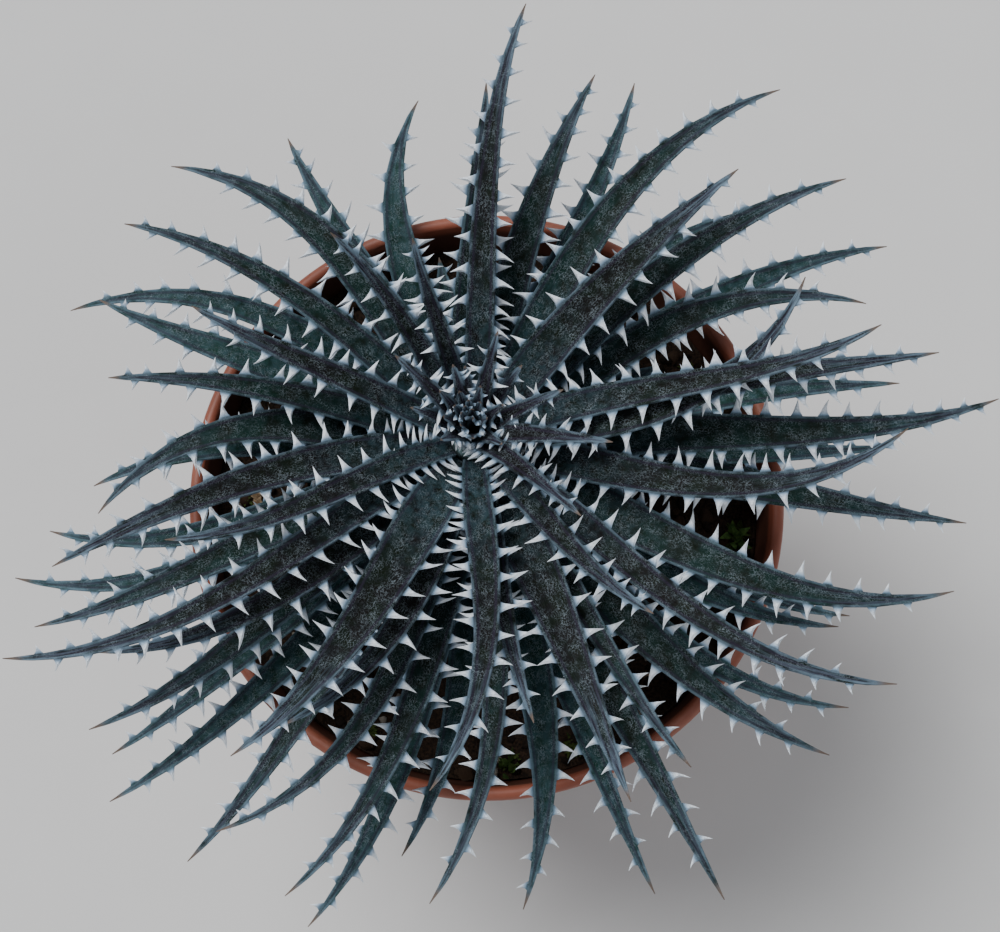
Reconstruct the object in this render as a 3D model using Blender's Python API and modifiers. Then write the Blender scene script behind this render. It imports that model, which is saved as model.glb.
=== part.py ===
"""A dyckia, a stiff spiny bromeliad, in its round plastic pot. Metres, +Z up.

The origin is the middle of the pot's flat underside. Sizes are written in millimetres and turned
into metres as the meshes are made. Headings are degrees from +X, seen from above.
"""

import math
import random

import bmesh
import bpy
from mathutils import Matrix, Vector

MM = 0.001
GAP = 0.3

# The pot: a thin tapered wall with a small rolled rim, and drain holes near the edge of its bottom
POT_HEIGHT = 115.0
POT_TOP_RADIUS = 73.0
POT_BOTTOM_RADIUS = 53.0
POT_WALL = 1.6
POT_FLOOR = 2.4
RIM_ROLL = 1.7
POT_SIDES = 44
DRAIN_HOLES = 4
DRAIN_RADIUS = 5.0
DRAIN_RING = 38.0

# The soil lies this far below the rim and is a little uneven
SOIL_TOP = POT_HEIGHT - 12.0
SOIL_UNEVEN = 1.2
SOIL_SIDES = 28

# The stem stands off the pot's axis, in a plain hole in the soil
STEM_X = -3.0
STEM_Y = 11.0
STEM_FOOT = SOIL_TOP - 14.0
STEM_TOP = 141.0
STEM_FOOT_RADIUS = 10.0
STEM_TOP_RADIUS = 5.2
STEM_SIDES = 18

# Leaves follow one another round the stem by the golden angle, clockwise as they grow upwards
FIRST_HEADING = 12.0
GOLDEN_ANGLE = 137.508
LOWEST_ROOT = 110.0
ROOT_STEP = 0.5
SUNK = 3.5

# The rosette opens towards its brighter side, which pulls each root part of the way to its leaf
ROOT_PULL = 0.75

# A leaf rises at ROOT_RISE and bends over by DROOP, from the lowest leaf to the highest
ROOT_RISE = (0.50, 0.86)
DROOP = (0.0050, 0.0044)
SHORT_REACH = 70.0
SHORT_RISE = 0.022

# The section of a leaf: a channel above, a keel below, and a blunt margin between the teeth
CHANNEL = 0.30
MARGIN = 0.8
KEEL = 0.9
KEEL_SWELL = 0.13
ROOT_WIDTH = 0.75
ROOT_MOST = 7.2
WIDEST = 0.22
NEEDLE_FROM = 0.93
NEEDLE_WIDTH = 1.3

# The teeth: true size, fewer than on the plant, alternating on the two margins
TOOTH_LENGTH = 5.0
TOOTH_BASE = 3.2
TEETH_FROM = 0.13
TEETH_TO = 0.92
TEETH_PITCH = 12.5

# From the lowest leaf to the highest: heading half way, heading of the tip, reach from the stem's
# axis, width where it is broadest, and how far the outer end is rolled over
LEAVES = (
    (0, 2, 106, 8.0, 0),
    (-131, -137, 125, 8.5, 0),
    (110, 99, 94, 10.0, 0),
    (-45, -34, 112, 8.0, 0),
    (-162, -170, 108, 8.0, 0),
    (33, 28, 120, 9.0, 0),
    (-93, -100, 101, 8.5, 0),
    (147, 160, 109, 8.0, 0),
    (-29, -24, 101, 8.0, 0),
    (-137, -140, 116, 8.0, 0),
    (65, 67, 104, 7.5, 0),
    (-69, -68, 117, 8.0, 0),
    (179, 186, 94, 9.0, 0),
    (11, 9, 107, 8.0, 0),
    (-102, -109, 123, 9.5, 0),
    (122, 121, 91, 8.0, 0),
    (-35, -27, 99, 8.0, 0),
    (-154, -164, 117, 8.0, 0),
    (48, 38, 96, 8.0, 0),
    (-76, -84, 113, 11.0, 0),
    (160, 159, 99, 9.5, 0),
    (-10, -9, 122, 10.0, 0),
    (-121, -124, 122, 8.0, 0),
    (76, 72, 97, 9.5, 0),
    (-50, -42, 114, 11.0, 0),
    (177, 192, 92, 9.5, 0),
    (30, 19, 101, 9.0, 0),
    (-102, -112, 118, 8.0, 0),
    (126, 138, 100, 10.0, 0),
    (-29, -18, 121, 10.5, 0),
    (-137, -142, 115, 8.5, 0),
    (59, 49, 115, 9.0, 0),
    (-63, -62, 125, 9.5, 0),
    (168, 172, 88, 7.0, 0),
    (-1, 4, 127, 10.0, 0),
    (-108, -122, 112, 7.0, 0),
    (89, 88, 85, 10.0, 0),
    (-59, -58, 95, 6.0, 0),
    (-152, -155, 113, 9.0, 0),
    (40, 34, 108, 8.5, 0),
    (-85, -95, 112, 7.0, 0),
    (143, 150, 96, 7.0, 0),
    (-15, -1, 102, 8.5, 0),
    (-137, -148, 103, 8.0, 0),
    (87, 83, 103, 6.5, 0),
    (-67, -68, 96, 11.5, 0),
    (195, 200, 103, 8.5, 0),
    (9, 8, 110, 8.0, 0),
    (-109, -121, 84, 8.0, 0),
    (124, 129, 52, 4.8, 0),
    (-43, -33, 115, 7.0, 0),
    (-143, -152, 121, 7.0, 0),
    (46, 43, 85, 10.0, 0),
    (-81, -79, 73, 6.0, 0),
    (160, 159, 70, 6.3, 0),
    (4, 22, 83, 9.0, 0),
    (-118, -124, 96, 11.5, 0),
    (110, 110, 40, 4.5, 0),
    (-54, -50, 63, 6.0, 0),
    (208, 204, 76, 6.2, 0),
    (8, 11, 95, 7.0, 0),
    (-86, -96, 88, 7.0, 0),
)

# The lowest leaves are one body with the stem
LEAVES_ON_STEM = 6

# The heart: heading, reach, height of the tip above the heart's foot, and width of each young leaf
HEART_LEAVES = (
    (17, 22, 24, 4.6),
    (142, 23, 26, 4.6),
    (-13, 33, 31, 5.0),
    (74, 21, 25, 4.4),
    (-45, 35, 32, 5.0),
    (110, 14, 21, 4.0),
)
HEART_FOOT = STEM_TOP + GAP
HEART_RADIUS = 4.6
HEART_HEIGHT = 12.0
HEART_SIDES = 12

TERRACOTTA = (0.27, 0.085, 0.05, 1)
SOIL_BROWN = (0.05, 0.032, 0.02, 1)
STEM_BROWN = (0.09, 0.07, 0.045, 1)
LEAF_DARK = (0.075, 0.07, 0.055, 1)
LEAF_YOUNG = (0.05, 0.032, 0.045, 1)


def clear_scene():
    for old in list(bpy.data.objects):
        bpy.data.objects.remove(old)


def new_material(name, colour, roughness):
    material = bpy.data.materials.new(name)
    material.use_nodes = True
    shader = material.node_tree.nodes["Principled BSDF"]
    shader.inputs["Base Color"].default_value = colour
    shader.inputs["Roughness"].default_value = roughness
    material.diffuse_color = colour
    return material


def add_object(name, mesh, collection, material=None):
    piece = bpy.data.objects.new(name, mesh)
    collection.objects.link(piece)
    if material is not None:
        mesh.materials.append(material)
    return piece


def mesh_of(name, points, faces):
    """A mesh from points in millimetres, with every face turned outwards."""
    mesh = bpy.data.meshes.new(name)
    mesh.from_pydata([Vector(point) * MM for point in points], [], faces)
    sheet = bmesh.new()
    sheet.from_mesh(mesh)
    bmesh.ops.recalc_face_normals(sheet, faces=sheet.faces)
    bmesh.ops.triangulate(sheet, faces=sheet.faces)
    sheet.to_mesh(mesh)
    sheet.free()
    return mesh


def turned(name, profile, sides, collection, material):
    """A solid of revolution: the profile runs down its outer side, as (radius, height) pairs."""
    mesh = bpy.data.meshes.new(name)
    points = [(radius * MM, 0, height * MM) for radius, height in profile]
    edges = [(i, i + 1) for i in range(len(points) - 1)]
    mesh.from_pydata(points, edges, [])
    piece = add_object(name, mesh, collection, material)
    screw = piece.modifiers.new("Turn", "SCREW")
    screw.steps = screw.render_steps = sides
    screw.use_merge_vertices = True
    screw.merge_threshold = 0.00001
    return piece


def apply_modifiers(piece):
    """The piece's mesh is replaced by the one that its modifiers make."""
    bpy.context.view_layer.update()
    graph = bpy.context.evaluated_depsgraph_get()
    made = bpy.data.meshes.new_from_object(piece.evaluated_get(graph))
    piece.modifiers.clear()
    piece.data = made


def onto_stem_axis(piece):
    """A piece that was turned round the pot's axis is moved to the stem's."""
    piece.data.transform(Matrix.Translation((STEM_X * MM, STEM_Y * MM, 0)))


def wall_radius(height):
    """The pot's outer radius at this height."""
    share = height / POT_HEIGHT
    return POT_BOTTOM_RADIUS + (POT_TOP_RADIUS - POT_BOTTOM_RADIUS) * share


def make_pot(collection, material):
    roll_middle = POT_TOP_RADIUS - POT_WALL / 2 + RIM_ROLL * 0.5
    rolled = [
        (
            roll_middle + RIM_ROLL * math.cos(math.radians(turn)),
            POT_HEIGHT - RIM_ROLL + RIM_ROLL * math.sin(math.radians(turn)),
        )
        for turn in (130, 90, 45, 0, -50)
    ]
    inner_foot = POT_FLOOR
    profile = (
        [(0, inner_foot), (wall_radius(inner_foot) - POT_WALL, inner_foot)]
        + rolled
        + [
            (wall_radius(POT_HEIGHT - 2 * RIM_ROLL), POT_HEIGHT - 2 * RIM_ROLL),
            (POT_BOTTOM_RADIUS, 1.2),
            (POT_BOTTOM_RADIUS - 1.2, 0),
            (0, 0),
        ]
    )
    pot = turned("pot", profile, POT_SIDES, collection, material)
    cutters = bpy.data.collections.new("cutters")
    bpy.context.scene.collection.children.link(cutters)
    for hole in range(DRAIN_HOLES):
        turn = math.radians(45 + 360 / DRAIN_HOLES * hole)
        mesh = bpy.data.meshes.new(f"drain_{hole}")
        sheet = bmesh.new()
        bmesh.ops.create_cone(
            sheet,
            cap_ends=True,
            segments=12,
            radius1=DRAIN_RADIUS * MM,
            radius2=DRAIN_RADIUS * MM,
            depth=POT_FLOOR * 3 * MM,
        )
        sheet.to_mesh(mesh)
        sheet.free()
        cutter = add_object(f"drain_{hole}", mesh, cutters)
        cutter.location = (
            DRAIN_RING * math.cos(turn) * MM,
            DRAIN_RING * math.sin(turn) * MM,
            0,
        )
        cutter.hide_render = True
        cutter.display_type = "WIRE"
        cut = pot.modifiers.new(f"Drain {hole}", "BOOLEAN")
        cut.operation = "DIFFERENCE"
        cut.object = cutter
    apply_modifiers(pot)
    for cutter in list(cutters.objects):
        bpy.data.objects.remove(cutter)
    return pot


def soil_height(x, y):
    """The soil's surface: a low mound round the stem, with shallow dips."""
    away = math.hypot(x - STEM_X, y - STEM_Y)
    mound = 3.0 * math.exp(-((away / 26) ** 2))
    dips = math.sin(x * 0.13 + 1.1) * math.cos(y * 0.11) * SOIL_UNEVEN
    return SOIL_TOP - 1.5 + mound + dips


def make_soil(collection, material):
    """A plug that fills the pot, with a plain hole for the stem."""
    draw = random.Random(5)
    foot = POT_FLOOR + GAP
    wall = POT_WALL + GAP + 0.25
    points = []
    for height, inset in ((foot, wall), (SOIL_TOP - 1.5, wall)):
        radius = wall_radius(height) - inset
        for side in range(SOIL_SIDES):
            turn = math.tau * side / SOIL_SIDES
            points.append([radius * math.cos(turn), radius * math.sin(turn), height])
    rim_radius = wall_radius(SOIL_TOP - 1.5) - wall
    for share in (0.86, 0.66, 0.42):
        for side in range(SOIL_SIDES):
            turn = math.tau * (side + 0.5 * draw.random()) / SOIL_SIDES
            radius = rim_radius * share
            x = radius * math.cos(turn) + STEM_X * (1 - share)
            y = radius * math.sin(turn) + STEM_Y * (1 - share)
            points.append([x, y, soil_height(x, y) + draw.uniform(-0.7, 0.7)])
    hole_radius = STEM_FOOT_RADIUS + GAP + 0.2
    for height in (soil_height(STEM_X, STEM_Y) - 1.0, STEM_FOOT - GAP):
        for side in range(SOIL_SIDES):
            turn = math.tau * side / SOIL_SIDES
            x = STEM_X + hole_radius * math.cos(turn)
            y = STEM_Y + hole_radius * math.sin(turn)
            points.append([x, y, height])
    rings = len(points) // SOIL_SIDES
    faces = []
    for ring in range(rings - 1):
        for side in range(SOIL_SIDES):
            after = (side + 1) % SOIL_SIDES
            low, high = ring * SOIL_SIDES, (ring + 1) * SOIL_SIDES
            faces.append((low + side, low + after, high + after, high + side))
    faces.append(tuple(range(SOIL_SIDES)))
    faces.append(tuple((rings - 1) * SOIL_SIDES + side for side in range(SOIL_SIDES)))
    return add_object("soil", mesh_of("soil", points, faces), collection, material)


def stem_radius(height):
    share = min(1, max(0, (height - SOIL_TOP) / (STEM_TOP - SOIL_TOP)))
    return STEM_FOOT_RADIUS + (STEM_TOP_RADIUS - STEM_FOOT_RADIUS) * share


def between(pair, share):
    return pair[0] + (pair[1] - pair[0]) * share


def turn_to(heading, start):
    """The heading written so that it lies within half a turn of the start."""
    return start + (heading - start + 180) % 360 - 180


def leaf_centre(order, row, into_stem):
    """A function of u, from 0 at the root to 1 at the tip, giving the leaf's middle line."""
    half_heading, tip_heading, reach = row[:3]
    age = order / (len(LEAVES) - 1)
    root_height = LOWEST_ROOT + ROOT_STEP * order
    skin_radius = stem_radius(root_height) + GAP + 0.2
    root_radius = skin_radius - SUNK if into_stem else skin_radius
    golden_heading = FIRST_HEADING - GOLDEN_ANGLE * order
    lean = turn_to(half_heading, golden_heading) - golden_heading
    root_heading = golden_heading + ROOT_PULL * lean
    half_turn = turn_to(half_heading, root_heading) - root_heading
    tip_turn = turn_to(tip_heading, root_heading) - root_heading
    bend = 4 * half_turn - tip_turn
    sweep = 2 * tip_turn - 4 * half_turn
    rise = between(ROOT_RISE, age) + max(0, SHORT_REACH - reach) * SHORT_RISE
    droop = between(DROOP, age)

    def centre(u):
        radius = root_radius + (reach - root_radius) * u
        out = radius - skin_radius
        heading = math.radians(root_heading + bend * u + sweep * u * u)
        return Vector(
            (
                STEM_X + radius * math.cos(heading),
                STEM_Y + radius * math.sin(heading),
                root_height + rise * out - droop * out * out,
            )
        )

    return centre


def heart_centre(heading, reach, height):
    """The middle line of a young leaf: out of the bud, nearly upright, then outwards."""
    turn = math.radians(heading)

    def centre(u):
        radius = 1.5 + (reach - 1.5) * (0.45 * u + 0.55 * u * u)
        return Vector(
            (
                STEM_X + radius * math.cos(turn),
                STEM_Y + radius * math.sin(turn),
                HEART_FOOT + 2.0 + (height - 2.0) * (1.25 * u - 0.25 * u * u),
            )
        )

    return centre


def half_width(u, width):
    """Narrow where it clasps the stem, broadest at WIDEST, then tapering to the needle."""
    if u < WIDEST:
        root = min(ROOT_WIDTH * width, ROOT_MOST)
        share = math.sin(math.pi / 2 * u / WIDEST)
        return between((root, width), share) / 2
    share = (u - WIDEST) / (NEEDLE_FROM - WIDEST)
    return NEEDLE_WIDTH / 2 + (width - NEEDLE_WIDTH) / 2 * (1 - share**1.2)


def leaf_frame(centre, u, roll):
    """The middle point, and the leaf's own across, up and along directions there."""
    step = 0.01
    along = (centre(min(1, u + step)) - centre(max(0, u - step))).normalized()
    across = Vector((along.y, -along.x, 0)).normalized()
    up = across.cross(along)
    turn = math.radians(roll) * u
    return (
        centre(u),
        across * math.cos(turn) + up * math.sin(turn),
        up * math.cos(turn) - across * math.sin(turn),
        along,
    )


def strip(first, second):
    """Triangles between two lines of (u, point index), whichever comes next along the leaf."""
    faces = []
    i = j = 0
    while i < len(first) - 1 or j < len(second) - 1:
        ends = i == len(first) - 1
        if not ends and (j == len(second) - 1 or first[i + 1][0] <= second[j + 1][0]):
            faces.append((first[i][1], first[i + 1][1], second[j][1]))
            i += 1
        else:
            faces.append((first[i][1], second[j + 1][1], second[j][1]))
            j += 1
    return faces


def leaf_points(centre, width, roll, teeth, tooth_length):
    """Points and faces of one toothed leaf."""
    length = sum(
        (centre((i + 1) / 20) - centre(i / 20)).length for i in range(20)
    )
    points, faces = [], []

    def add(u, sideways, upwards):
        middle, across, up, _ = leaf_frame(centre, u, roll)
        points.append(middle + across * sideways + up * upwards)
        return (u, len(points) - 1)

    def keel(u):
        return KEEL + KEEL_SWELL * width * (1 - u) * min(1, 0.5 + 2 * u)

    middle_at = [NEEDLE_FROM * i / (teeth // 2 + 2) for i in range(teeth // 2 + 3)]
    top_middle = [add(u, 0, 0) for u in middle_at]
    low_middle = [add(u, 0, -keel(u)) for u in middle_at]
    tip = len(points)
    points.append(centre(1))
    for hand in (-1, 1):
        base = TOOTH_BASE / length
        span = (TEETH_TO - TEETH_FROM) / teeth
        first = TEETH_FROM + span * (0.25 if hand < 0 else 0.75) - base / 2
        starts = [first + span * tooth for tooth in range(teeth)]
        at = [0.0]
        for start in starts:
            at += [start, start + base]
        if at[-1] < NEEDLE_FROM:
            at.append(NEEDLE_FROM)
        top, low = [], []
        for u in at:
            wide = half_width(u, width)
            raised = CHANNEL * wide
            top.append(add(u, hand * wide, raised))
            low.append(add(u, hand * wide, raised - MARGIN))
        faces += strip(top_middle, top)
        faces += strip(low_middle, low)
        for i in range(len(at) - 1):
            corners = (top[i][1], top[i + 1][1], low[i + 1][1], low[i][1])
            if i % 2 == 0:
                faces += [corners[:3], (corners[0], corners[2], corners[3])]
                continue
            u = (at[i] + at[i + 1]) / 2
            _, across, up, along = leaf_frame(centre, u, roll)
            foot = sum((points[corner] for corner in corners), Vector()) / 4
            size = tooth_length * (0.55 + 0.45 * math.sin(math.pi * u**0.8))
            lean = 0.9 * (u - 0.3)
            point = foot + (across * hand + along * lean - up * 0.08) * size
            points.append(point)
            for corner in range(4):
                faces.append((corners[corner], corners[(corner + 1) % 4], len(points) - 1))
        faces += [
            (top_middle[-1][1], top[-1][1], tip),
            (top[-1][1], low[-1][1], tip),
            (low[-1][1], low_middle[-1][1], tip),
            (top_middle[0][1], top[0][1], low[0][1]),
            (top_middle[0][1], low[0][1], low_middle[0][1]),
        ]
    return points, faces


def leaf_mesh(name, order, into_stem=False):
    row = LEAVES[order]
    teeth = max(4, round(row[2] / TEETH_PITCH))
    centre = leaf_centre(order, row, into_stem)
    points, faces = leaf_points(centre, row[3], row[4], teeth, TOOTH_LENGTH)
    return mesh_of(name, points, faces)


def join_to(piece, shapes, collection):
    """The shapes are made one body with the piece, and removed."""
    extras = bpy.data.collections.new(piece.name + "_extras")
    bpy.context.scene.collection.children.link(extras)
    for name, mesh in shapes:
        add_object(name, mesh, extras)
    union = piece.modifiers.new("Join", "BOOLEAN")
    union.operation = "UNION"
    union.operand_type = "COLLECTION"
    union.solver = "MANIFOLD"
    union.collection = extras
    apply_modifiers(piece)
    for extra in list(extras.objects):
        bpy.data.objects.remove(extra)


def make_stem(collection, material):
    profile = (
        (0, STEM_TOP),
        (STEM_TOP_RADIUS, STEM_TOP),
        (STEM_FOOT_RADIUS, SOIL_TOP),
        (STEM_FOOT_RADIUS, STEM_FOOT),
        (0, STEM_FOOT),
    )
    stem = turned("stem", profile, STEM_SIDES, collection, material)
    apply_modifiers(stem)
    onto_stem_axis(stem)
    shapes = [
        (f"low_leaf_{order + 1:02d}", leaf_mesh("low_leaf", order, into_stem=True))
        for order in range(LEAVES_ON_STEM)
    ]
    join_to(stem, shapes, collection)
    return stem


def make_heart(collection, material):
    profile = (
        (0, HEART_FOOT + HEART_HEIGHT),
        (HEART_RADIUS * 0.45, HEART_FOOT + HEART_HEIGHT * 0.7),
        (HEART_RADIUS * 0.85, HEART_FOOT + HEART_HEIGHT * 0.35),
        (HEART_RADIUS, HEART_FOOT),
        (0, HEART_FOOT),
    )
    heart = turned("heart", profile, HEART_SIDES, collection, material)
    apply_modifiers(heart)
    onto_stem_axis(heart)
    shapes = []
    for number, (heading, reach, height, width) in enumerate(HEART_LEAVES):
        centre = heart_centre(heading, reach, height)
        points, faces = leaf_points(centre, width, 0, 4, TOOTH_LENGTH * 0.55)
        shapes.append((f"young_leaf_{number}", mesh_of("young_leaf", points, faces)))
    join_to(heart, shapes, collection)
    return heart


def main():
    clear_scene()
    plant = bpy.data.collections.new("dyckia_in_pot")
    bpy.context.scene.collection.children.link(plant)
    make_pot(plant, new_material("pot_plastic", TERRACOTTA, 0.55))
    make_soil(plant, new_material("potting_soil", SOIL_BROWN, 0.95))
    make_stem(plant, new_material("stem_bark", STEM_BROWN, 0.85))
    leaf_skin = new_material("leaf_skin", LEAF_DARK, 0.6)
    for order in range(LEAVES_ON_STEM, len(LEAVES)):
        name = f"leaf_{order + 1:02d}"
        add_object(name, leaf_mesh(name, order), plant, leaf_skin)
    make_heart(plant, new_material("young_leaf_skin", LEAF_YOUNG, 0.5))


if __name__ == "__main__":
    main()
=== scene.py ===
"""The looks of a dyckia, a stiff spiny bromeliad, in its round plastic pot.

Laid out as a Blender add-on and run as a script. The frame's solids give each piece its place.
Tables and formulas are in millimetres from the middle of the pot's underside, and properties in
metres. Headings are degrees from +X, seen from above.
"""

import math
import random

import bmesh
import bpy
import numpy as np
from mathutils import Matrix, Vector


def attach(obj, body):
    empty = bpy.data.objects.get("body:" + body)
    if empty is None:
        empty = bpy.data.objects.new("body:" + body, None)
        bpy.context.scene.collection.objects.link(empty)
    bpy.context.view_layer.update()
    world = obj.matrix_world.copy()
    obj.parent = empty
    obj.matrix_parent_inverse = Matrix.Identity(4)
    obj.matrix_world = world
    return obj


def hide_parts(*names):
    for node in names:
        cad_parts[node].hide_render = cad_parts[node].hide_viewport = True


bl_info = {
    "name": "Dyckia In Its Pot",
    "version": (1, 0, 0),
    "blender": (4, 5, 0),
    "location": "3D View > Sidebar > Dyckia",
    "description": "Builds a spiny bromeliad rosette, its soil and its pot, with a plain stage",
    "category": "Object",
}

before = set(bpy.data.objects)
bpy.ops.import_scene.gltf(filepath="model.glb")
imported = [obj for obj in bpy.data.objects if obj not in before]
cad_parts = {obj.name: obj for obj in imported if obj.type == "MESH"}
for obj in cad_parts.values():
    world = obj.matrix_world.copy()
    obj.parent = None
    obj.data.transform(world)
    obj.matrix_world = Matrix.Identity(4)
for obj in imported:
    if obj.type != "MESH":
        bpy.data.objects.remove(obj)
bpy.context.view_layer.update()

MM = 0.001

# The pot
POT_HEIGHT = 115.0
POT_TOP_RADIUS = 73.0
POT_BOTTOM_RADIUS = 53.0
POT_WALL = 1.6
POT_FLOOR = 2.4
POT_SIDES = 144
FLOOR_CORNER = 2.0
RIM_ROLL = 1.7
RIM_DEGREES = range(150, -71, -20)
DRAIN_HOLES = 4
DRAIN_RADIUS = 5.0
DRAIN_RING = 38.0
DRAIN_SIDES = 40

# A plain band stands out a little beneath the rim, and the wall goes on down below it
BAND_TOP = POT_HEIGHT - 4.0
BAND_FOOT = POT_HEIGHT - 14.0
BAND_RAISED = 0.35
WALL_HEIGHTS = (BAND_FOOT - 0.6, 80, 60, 40, 20, 4.0)
# The pot's rounded foot, as how far in from the bottom's edge and how high
FOOT_CORNER = ((0.0, 1.6), (0.4, 0.5), (1.2, 0.0))

# The soil: a low mound round the stem, with shallow dips and finer bumps
SOIL_TOP = POT_HEIGHT - 12.0
SOIL_UNEVEN = 1.2
SOIL_LOWERED = 1.5
MOUND_HEIGHT = 3.0
MOUND_REACH = 26.0
SOIL_RINGS = 46
SOIL_SIDES = 150
BUMP_HEIGHT = 0.42
# How fast each row of bumps runs, and where it starts
BUMPS = ((0.7, 0.3), (1.3, 1.7), (2.4, 4.0), (3.9, 2.2))

# The stem
STEM_X = -3.0
STEM_Y = 11.0
STEM_TOP = 141.0
STEM_FOOT = SOIL_TOP - 14.0
STEM_FOOT_RADIUS = 10.0
STEM_TOP_RADIUS = 5.2
STEM_RINGS = 34
STEM_SIDES = 48
STEM_GROOVE = 0.25

# What lies loose on the soil: name, share of all the grains, least and greatest width in usual
# grains, flatness, and the settings that give its pale and its dark colour
LOOSE_GRAINS = (
    ("soil_crumbs", 0.55, (0.5, 1.3), 0.7, "peat", "bark"),
    ("soil_bark", 0.25, (0.8, 2.2), 0.35, "bark", "peat"),
    ("soil_pumice", 0.20, (0.5, 1.2), 0.85, "stone", "bark"),
)
GRAIN_SUNK = 0.25

# What grows or lies on it in tufts: name, blades in a tuft, their height, spread and width, its
# dark and its pale colour, and where each tuft is, as X and Y
LITTER = (
    ("moss", 60, 2.2, 3.0, 0.9, (0.02, 0.035, 0.008), (0.06, 0.085, 0.02),
     ((64, -6), (60, -12), (52, 36), (-62, 4), (-44, 44), (6, -64), (22, -60), (-30, -56))),
    ("weed_seedlings", 9, 6.5, 4.5, 2.0, (0.03, 0.07, 0.015), (0.07, 0.13, 0.03),
     ((63, -8), (5, -66))),
    ("dry_scraps", 5, 1.6, 6.5, 2.2, (0.14, 0.09, 0.05), (0.32, 0.23, 0.14),
     ((-20, 56), (-58, 2), (38, -48), (55, 30))),
)

# How the leaves follow one another round the stem, and how they rise and bend over
FIRST_HEADING = 12.0
GOLDEN_ANGLE = 137.508
LOWEST_ROOT = 110.0
ROOT_STEP = 0.5
ROOT_PULL = 0.75
ROOT_GAP = 0.5
ROOT_RISE = (0.50, 0.86)
DROOP = (0.0050, 0.0044)
SHORT_REACH = 70.0
SHORT_RISE = 0.022

# A leaf's width along its length
ROOT_WIDTH = 0.75
ROOT_MOST = 7.2
WIDEST = 0.22
TAPER = 1.55
NEEDLE_FROM = 0.93
NEEDLE_END = 1.02
NEEDLE_WIDTH = 1.3

# The section of a leaf: channelled above, keeled beneath, with a thick margin
CHANNEL = 0.30
MARGIN = 0.8
MARGIN_BULGE = 0.22
KEEL = 0.9
KEEL_SWELL = 0.13
TOP_CURVE = 1.7
LOW_CURVE = 1.25
THIN_BELOW = 1.2
THINNEST = 0.15

# From the lowest leaf to the highest: heading half way, heading of the tip, reach from the stem's
# axis, and width where it is broadest
LEAVES = (
    (0, 2, 106, 8.0),
    (-131, -137, 125, 8.5),
    (110, 99, 94, 10.0),
    (-45, -34, 112, 8.0),
    (-162, -170, 108, 8.0),
    (33, 28, 120, 9.0),
    (-93, -100, 101, 8.5),
    (147, 160, 109, 8.0),
    (-29, -24, 101, 8.0),
    (-137, -140, 116, 8.0),
    (65, 67, 104, 7.5),
    (-69, -68, 117, 8.0),
    (179, 186, 94, 9.0),
    (11, 9, 107, 8.0),
    (-102, -109, 123, 9.5),
    (122, 121, 91, 8.0),
    (-35, -27, 99, 8.0),
    (-154, -164, 117, 8.0),
    (48, 38, 96, 8.0),
    (-76, -84, 113, 11.0),
    (160, 159, 99, 9.5),
    (-10, -9, 122, 10.0),
    (-121, -124, 122, 8.0),
    (76, 72, 97, 9.5),
    (-50, -42, 114, 11.0),
    (177, 192, 92, 9.5),
    (30, 19, 101, 9.0),
    (-102, -112, 118, 8.0),
    (126, 138, 100, 10.0),
    (-29, -18, 121, 10.5),
    (-137, -142, 115, 8.5),
    (59, 49, 115, 9.0),
    (-63, -62, 125, 9.5),
    (168, 172, 88, 7.0),
    (-1, 4, 127, 10.0),
    (-108, -122, 112, 7.0),
    (89, 88, 85, 10.0),
    (-59, -58, 95, 6.0),
    (-152, -155, 113, 9.0),
    (40, 34, 108, 8.5),
    (-85, -95, 112, 7.0),
    (143, 150, 96, 7.0),
    (-15, -1, 102, 8.5),
    (-137, -148, 103, 8.0),
    (87, 83, 103, 6.5),
    (-67, -68, 96, 11.5),
    (195, 200, 103, 8.5),
    (9, 8, 110, 8.0),
    (-109, -121, 84, 8.0),
    (124, 129, 52, 4.8),
    (-43, -33, 115, 7.0),
    (-143, -152, 121, 7.0),
    (46, 43, 85, 10.0),
    (-81, -79, 73, 6.0),
    (160, 159, 70, 6.3),
    (4, 22, 83, 9.0),
    (-118, -124, 96, 11.5),
    (110, 110, 40, 4.5),
    (-54, -50, 63, 6.0),
    (208, 204, 76, 6.2),
    (8, 11, 95, 7.0),
    (-86, -96, 88, 7.0),
)
# The lowest leaves are part of the stem's node
LEAVES_ON_STEM = 6

# Short leaves beneath them, that lie low over the soil inside the rim
UNDER_LEAVES = 17
UNDER_REACH = (46.0, 60.0)
UNDER_WIDTH = (11.0, 14.0)
UNDER_RISE = 0.36
UNDER_DROOP = 0.0045
UNDER_FIRST_HEADING = 60
UNDER_CLEARANCE = 5.0
UNDER_ROOT = SOIL_TOP + 2.2
UNDER_STEP = 0.18
UNDER_SUNK = 1.5
UNDER_TEETH = 0.9
UNDER_PITCH = 0.8

# Dry stubs of the oldest leaves, wrapped round the stem's foot
STUBS = 26
STUB_REACH = (5.0, 11.0)
STUB_RISE = (0.0, 0.5)
STUB_WIDTH = (7.0, 9.0)
STUB_ROOT = SOIL_TOP + 0.6
STUB_STEP = 0.28
STUB_BEND = 1.5
STUB_SUNK = 1.0
STUB_TEETH = 0.3
STUB_PITCH = 4.0

# The heart: heading, reach, height of the tip above the heart's foot, and width of each young leaf
HEART_LEAVES = (
    (17, 22, 24, 4.6),
    (142, 23, 26, 4.6),
    (-13, 33, 31, 5.0),
    (74, 21, 25, 4.4),
    (-45, 35, 32, 5.0),
    (110, 14, 21, 4.0),
)
HEART_FOOT = STEM_TOP + 0.3
HEART_ROOT = HEART_FOOT + 2.0
HEART_TEETH = 0.8
HEART_PITCH = 0.7
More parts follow.
